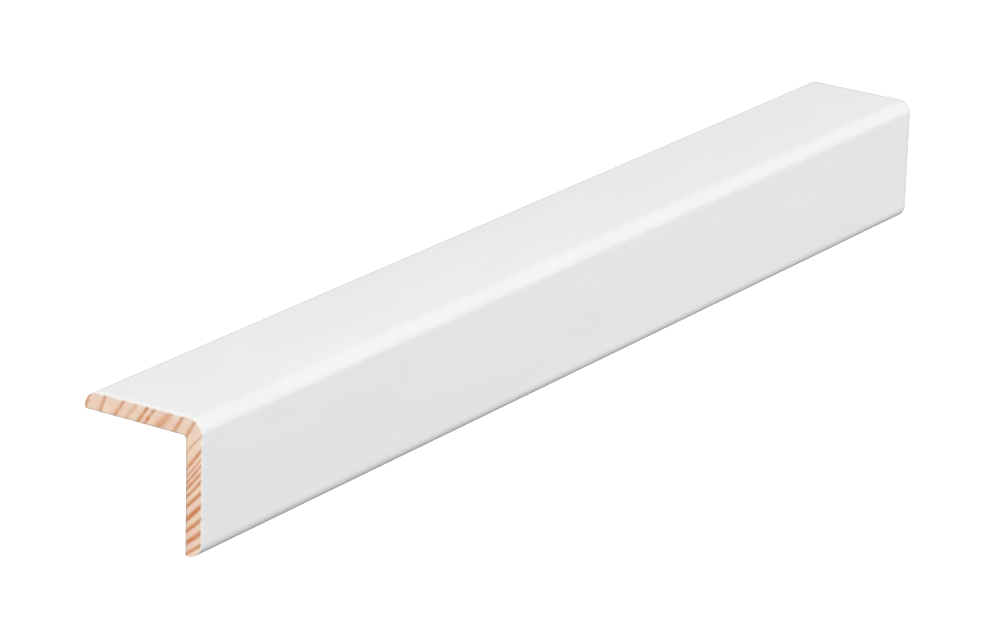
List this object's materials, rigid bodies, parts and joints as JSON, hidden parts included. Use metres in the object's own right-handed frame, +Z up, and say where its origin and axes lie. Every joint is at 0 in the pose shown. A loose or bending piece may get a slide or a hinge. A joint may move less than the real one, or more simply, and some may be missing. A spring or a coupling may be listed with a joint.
{
  "type": "corner moulding",
  "caption": "Straight length of white-painted pine corner moulding with an L-shaped section, rounded outside corner and leg edges, cut square at the ends.",
  "frame": {"origin": "middle of the flat back of the top leg, at mid-length, on the face that lies against the wall or shelf it is fixed to", "axes": "+X along the length, +Y from the outer side face towards the edge of the top leg, +Z up out of the top face"},
  "size_m": [0.312, 0.0331, 0.033],
  "materials": {
    "painted_pine": "smooth satin white paint on the outside faces, bare pine on the back and the sawn ends"
  },
  "bodies": {
    "root": {"corner_moulding": "painted_pine"}
  },
  "joints": []
}
